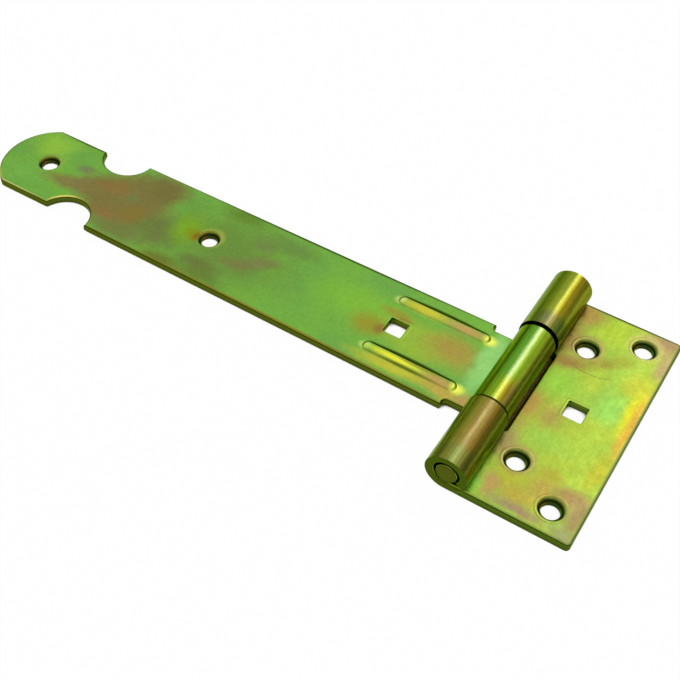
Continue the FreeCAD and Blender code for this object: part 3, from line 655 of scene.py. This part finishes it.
def skin(node, body, slot, material):
    mesh = frame["nodes"][node].data.copy()
    mesh.name = node + "_skin"
    shell = bmesh.new()
    shell.from_mesh(mesh)
    bmesh.ops.remove_doubles(shell, verts=shell.verts, dist=skinLook["mergeWithin"] * mm)
    bmesh.ops.dissolve_limit(
        shell, angle_limit=math.radians(skinLook["flatWithin"]), verts=shell.verts, edges=shell.edges)
    for edge in shell.edges:
        edge.smooth = isSmooth(edge)
    for face in shell.faces:
        face.smooth = True
    shell.to_mesh(mesh)
    shell.free()
    mesh.materials.clear()
    mesh.materials.append(material)
    piece = placed(node + "_skin", mesh)
    weighted = piece.modifiers.new("even shading", "WEIGHTED_NORMAL")
    weighted.keep_sharp = True
    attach(piece, body)
    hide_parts(node)
    print("skin", node, len(mesh.polygons), "faces")


strapZinc = passivatedZinc("strapZinc", strapLook)
plateZinc = passivatedZinc("plateZinc", plateLook)
pinZinc = passivatedZinc("pinZinc", pinLook)
skin("strap_leaf", "strap", "strap_zinc", strapZinc)
skin("butt_plate", "plate", "plate_zinc", plateZinc)
skin("hinge_pin", "plate", "pin_zinc", pinZinc)


# Hole lips: the low rim that the press leaves round every hole

# sizes are in millimetres
lipLook = {
    "outside": 0.5,  # how far outside a hole's edge the middle of its lip runs
    "side": 7, "corner": 0.4,  # square holes
    "roundPoints": 48, "cornerPoints": 4,  # points of an outline round a hole and round a corner
    "width": 1.1, "rise": 0.05, "profilePoints": 8,
    "foot": 0.2, "crest": -2,  # in rises, downwards; the curve goes about half way to its crest point
    "step": 0.35, "wear": 0.3, "wearSize": 2.5, "wearDetail": 2,  # wear is a share of the lip's size
}


def lipGroup():
    tree = bpy.data.node_groups.new("holeLips", "GeometryNodeTree")
    tree.interface.new_socket("Outlines", in_out="INPUT", socket_type="NodeSocketGeometry")
    for name, kind in (("Lip Width", "Float"), ("Lip Height", "Float"), ("Step Length", "Float"),
                       ("Wear", "Float"), ("Wear Size", "Float"), ("Seed", "Float"), ("Zinc", "Material")):
        tree.interface.new_socket(name, in_out="INPUT", socket_type="NodeSocket" + kind)
    tree.interface.new_socket("Lips", in_out="OUTPUT", socket_type="NodeSocketGeometry")
    sheet = Sheet(tree)
    given = sheet.node("NodeGroupInput").socket.node.outputs
    wire = {socket.name: Wire(sheet, socket) for socket in given if socket.name}
    outline = sheet.node("GeometryNodeMeshToCurve", {}, {"Mesh": wire["Outlines"]})
    outline = sheet.node(
        "GeometryNodeResampleCurve", {"mode": "LENGTH"}, {"Curve": outline, "Length": wire["Step Length"]})
    outline = sheet.node("GeometryNodeSetCurveNormal", {"mode": "Z_UP"}, {"Curve": outline})
    where = sheet.node("GeometryNodeInputPosition")
    scale = 1 / wire["Wear Size"]
    wear = sheet.node(
        "ShaderNodeTexNoise", {"noise_dimensions": "4D"},
        {"Vector": where, "W": wire["Seed"], "Scale": scale, "Detail": lipLook["wearDetail"]})
    outline = sheet.node(
        "GeometryNodeSetCurveRadius", {}, {"Curve": outline, "Radius": 1 + (wear - 0.5) * wire["Wear"]})
    half = wire["Lip Width"] / 2
    start, crest, end = [
        sheet.node("ShaderNodeCombineXYZ", {}, {0: across, 1: lipLook[part] * wire["Lip Height"], 2: 0.0})
        for across, part in ((-1 * half, "foot"), (0.0, "crest"), (half, "foot"))]
    profile = sheet.node(
        "GeometryNodeCurveQuadraticBezier", {},
        {"Resolution": lipLook["profilePoints"], "Start": start, "Middle": crest, "End": end})
    lips = sheet.node("GeometryNodeCurveToMesh", {}, {"Curve": outline, "Profile Curve": profile})
    lips = sheet.node("GeometryNodeSetShadeSmooth", {}, {"Geometry": lips})
    lips = sheet.node("GeometryNodeRealizeInstances", {}, {"Geometry": lips})
    lips = sheet.node("GeometryNodeSetMaterial", {}, {"Geometry": lips, "Material": wire["Zinc"]})
    sheet.node("NodeGroupOutput", {}, {"Lips": lips})
    return tree


def arc(middle, radius, start, turn, steps):
    # points on part of a circle, from a starting angle on, with a turn between each two; angles in degrees
    angles = [math.radians(start + turn * step) for step in range(steps)]
    return [
        (middle[0] + radius * math.cos(angle), middle[1] + radius * math.sin(angle)) for angle in angles]


def roundLoop(hole, lip):
    steps = lip["roundPoints"]
    return arc(hole, lip["rim"] + lip["outside"], 0, 360 / steps, steps)


def squareLoop(hole, lip):
    # an arc round each corner, which leaves the sides straight
    flat, steps = lip["side"] / 2 - lip["corner"], lip["cornerPoints"]
    points = []
    for sideX, sideY, start in ((1, 1, 0), (-1, 1, 90), (-1, -1, 180), (1, -1, 270)):
        middle = (hole[0] + sideX * flat, hole[1] + sideY * flat)
        points += arc(middle, lip["corner"] + lip["outside"], start, 90 / (steps - 1), steps)
    return points


def outlinesOf(lip):
    # one closed loop of points round each hole, just outside its edge
    loops = [roundLoop(hole, lip) for hole in lip["rounds"]]
    loops += [squareLoop(hole, lip) for hole in lip["squares"]]
    points = []
    edges = []
    for loop in loops:
        first, size = len(points), len(loop)
        points.extend((x * mm, y * mm, frontHeight * mm) for x, y in loop)
        edges.extend((first + i, first + (i + 1) % size) for i in range(size))
    return points, edges


def pressedLips(name, body, material, tree, lip):
    mesh = bpy.data.meshes.new(name)
    points, edges = outlinesOf(lip)
    mesh.from_pydata(points, edges, [])
    piece = placed(name, mesh)
    modifier = piece.modifiers.new(name, "NODES")
    modifier.node_group = tree
    values = {
        "Lip Width": lip["width"] * mm, "Lip Height": lip["rise"] * mm, "Step Length": lip["step"] * mm,
        "Wear": lip["wear"], "Wear Size": lip["wearSize"] * mm, "Seed": lip["seed"], "Zinc": material}
    for socket in tree.interface.items_tree:
        if socket.name in values:
            modifier[socket.identifier] = values[socket.name]
    bpy.context.view_layer.update()
    evaluated = piece.evaluated_get(bpy.context.evaluated_depsgraph_get())
    piece.data = bpy.data.meshes.new_from_object(evaluated)
    piece.modifiers.clear()
    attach(piece, body)
    heights = [round(vertex.co.z / mm, 3) for vertex in piece.data.vertices]
    print("lips", name, len(piece.data.polygons), "faces, from", min(heights), "to", max(heights), "mm")


strapLip = {
    **lipLook, "rounds": strapScrews, "squares": holesOf("strap_bolt_square"), "rim": 4.2, "seed": 4,
}

plateLip = {
    **lipLook, "rounds": plateScrews, "squares": holesOf("plate_bolt_square"), "rim": 4.4, "seed": 9,
}

holeLips = lipGroup()
pressedLips("strapLips", "strap", strapZinc, holeLips, strapLip)
pressedLips("plateLips", "plate", plateZinc, holeLips, plateLip)


# Studio: pale floor, a soft box, and cards that only reflections see

# floorSize, boxAway and boxSize are in metres, floorDrop and gapReach in millimetres, angles in degrees
studio = {
    "floorSize": 6.0, "floorGrey": (246, 246, 246), "floorGlow": 0.985, "floorDrop": 0.55,
    "gapReach": 30, "gapSamples": 16, "gapSpan": (0.27, 0.36), "gapShadeColour": (150, 130, 36),
    "boxAzimuth": 88, "boxHeight": 49, "boxAway": 0.9, "boxSize": (0.16, 0.50), "boxPower": 0.32,
    "skyForLight": 0.75,
}

# radius, height and foot are in metres; dark and bright pair a share of the height with a grey
cards = {
    "radius": 1.6, "height": 2.3, "foot": -0.02, "steps": 64,
    "brightAzimuth": 106, "brightSpan": (-0.3, 0.5),
    "dark": [
        (0.00, 0.14), (0.13, 0.20), (0.22, 0.28), (0.40, 0.38), (0.56, 0.48), (0.80, 0.85), (1.00, 1.00)],
    "bright": [(0.00, 0.24), (0.12, 0.30), (0.25, 0.60), (0.38, 0.85), (0.50, 1.00)],
}


def farWhite(sheet):
    # 1 where the camera, a gloss or a glass looks, 0 for the light that falls on things
    camera, gloss, glass = [
        sheet.node("ShaderNodeLightPath", output=ray)
        for ray in ("Is Camera Ray", "Is Glossy Ray", "Is Transmission Ray")]
    return (camera + gloss + glass).maths("MINIMUM", 1.0)


def layFloor():
    half = studio["floorSize"] / 2
    corners = [(-half, -half, 0), (half, -half, 0), (half, half, 0), (-half, half, 0)]
    mesh = bpy.data.meshes.new("floor")
    mesh.from_pydata(corners, [], [(0, 1, 2, 3)])
    floor = placed("floor", mesh)
    floor.location.z = -studio["floorDrop"] * mm
    material = bpy.data.materials.new("paleFloor")
    sheet = Sheet(material)
    # painted shade: the floor's colour and glow darken in narrow gaps, where no light would reach it
    openness = sheet.node(
        "ShaderNodeAmbientOcclusion", {"samples": studio["gapSamples"]},
        {"Distance": studio["gapReach"] * mm}, "AO")
    lit = sheet.ease(openness, *studio["gapSpan"])
    tone = sheet.mix(lit, opaque(studio["gapShadeColour"]), opaque(studio["floorGrey"]))
    matt = sheet.node("ShaderNodeBsdfDiffuse", {}, {"Color": tone})
    glow = sheet.node("ShaderNodeEmission", {}, {"Color": (1, 1, 1, 1), "Strength": 1.0})
    seen = farWhite(sheet) * lit * studio["floorGlow"]
    shader = sheet.node("ShaderNodeMixShader", {}, {0: seen, 1: matt, 2: glow})
    sheet.node("ShaderNodeOutputMaterial", {}, {"Surface": shader})
    mesh.materials.append(material)


def hangSky():
    world = bpy.data.worlds.new("sky")
    bpy.context.scene.world = world
    sheet = Sheet(world)
    white = farWhite(sheet)
    strength = white + (1 - white) * studio["skyForLight"]
    shader = sheet.node("ShaderNodeBackground", {}, {"Color": (1, 1, 1, 1), "Strength": strength})
    sheet.node("ShaderNodeOutputWorld", {}, {"Surface": shader})


def cardBoard():
    # darkest near the ground and on the camera's side
    material = bpy.data.materials.new("cardBoard")
    sheet = Sheet(material)
    where = sheet.parts(sheet.node("ShaderNodeTexCoord", output="Object"))
    across, along, up = [part / cards["radius"] for part in where]
    height = up * (cards["radius"] / cards["height"])
    dark, bright = [
        sheet.node(
            "ShaderNodeValToRGB", {"stops": [(share, (grey,) * 3) for share, grey in cards[side]]},
            {0: height})
        for side in ("dark", "bright")]
    azimuth = math.radians(cards["brightAzimuth"])
    towards = across * math.cos(azimuth) + along * math.sin(azimuth)
    tone = sheet.mix(sheet.ease(towards, *cards["brightSpan"]), dark, bright)
    glow = sheet.node("ShaderNodeEmission", {}, {"Color": tone, "Strength": 1.0})
    sheet.node("ShaderNodeOutputMaterial", {}, {"Surface": glow})
    return material


def standCards():
    # a ring of cards round the object
    steps = cards["steps"]
    ring = arc((0, 0), cards["radius"], 0, 360 / steps, steps)
    points = [(x, y, z) for z in (cards["foot"], cards["height"]) for x, y in ring]
    faces = [(i, (i + 1) % steps, steps + (i + 1) % steps, steps + i) for i in range(steps)]
    mesh = bpy.data.meshes.new("cards")
    mesh.from_pydata(points, [], faces)
    mesh.materials.append(cardBoard())
    standing = placed("cards", mesh)
    standing.visible_camera = False
    standing.visible_shadow = False
    standing.visible_diffuse = False


def hangSoftBox():
    azimuth, height = math.radians(studio["boxAzimuth"]), math.radians(studio["boxHeight"])
    level = math.cos(height)
    away = Vector((math.cos(azimuth) * level, math.sin(azimuth) * level, math.sin(height)))
    light = bpy.data.lights.new("softBox", "AREA")
    light.shape = "RECTANGLE"
    light.size, light.size_y = studio["boxSize"]
    light.energy = studio["boxPower"]
    lamp = placed("softBox", light)
    lamp.location = away * studio["boxAway"]
    lamp.rotation_euler = away.to_track_quat("Z", "Y").to_euler()


layFloor()
hangSky()
standCards()
hangSoftBox()
print("studio lit")


# Camera: where the photograph was taken from, in millimetres, degrees and pixels of the photograph

shot = {
    "place": (65.25, -228.54, 281.89), "target": (-56.87, -13.06, -0.5), "roll": 3.02,
    "focusPixels": 1126.6, "framePixels": 680, "sensor": 36, "nearest": 10,
}


def standCamera():
    place, target = Vector(shot["place"]) * mm, Vector(shot["target"]) * mm
    data = bpy.data.cameras.new("camera")
    data.sensor_width = shot["sensor"]
    data.lens = shot["sensor"] * shot["focusPixels"] / shot["framePixels"]
    data.clip_start = shot["nearest"] * mm
    camera = placed("camera", data)
    facing = (target - place).to_track_quat("-Z", "Y").to_matrix().to_4x4()
    roll = Matrix.Rotation(math.radians(shot["roll"]), 4, "Z")
    camera.matrix_world = Matrix.Translation(place) @ facing @ roll
    bpy.context.scene.camera = camera
    print("camera set, lens", round(data.lens, 2), "mm")


standCamera()
bpy.context.scene.view_settings.view_transform = "Standard"
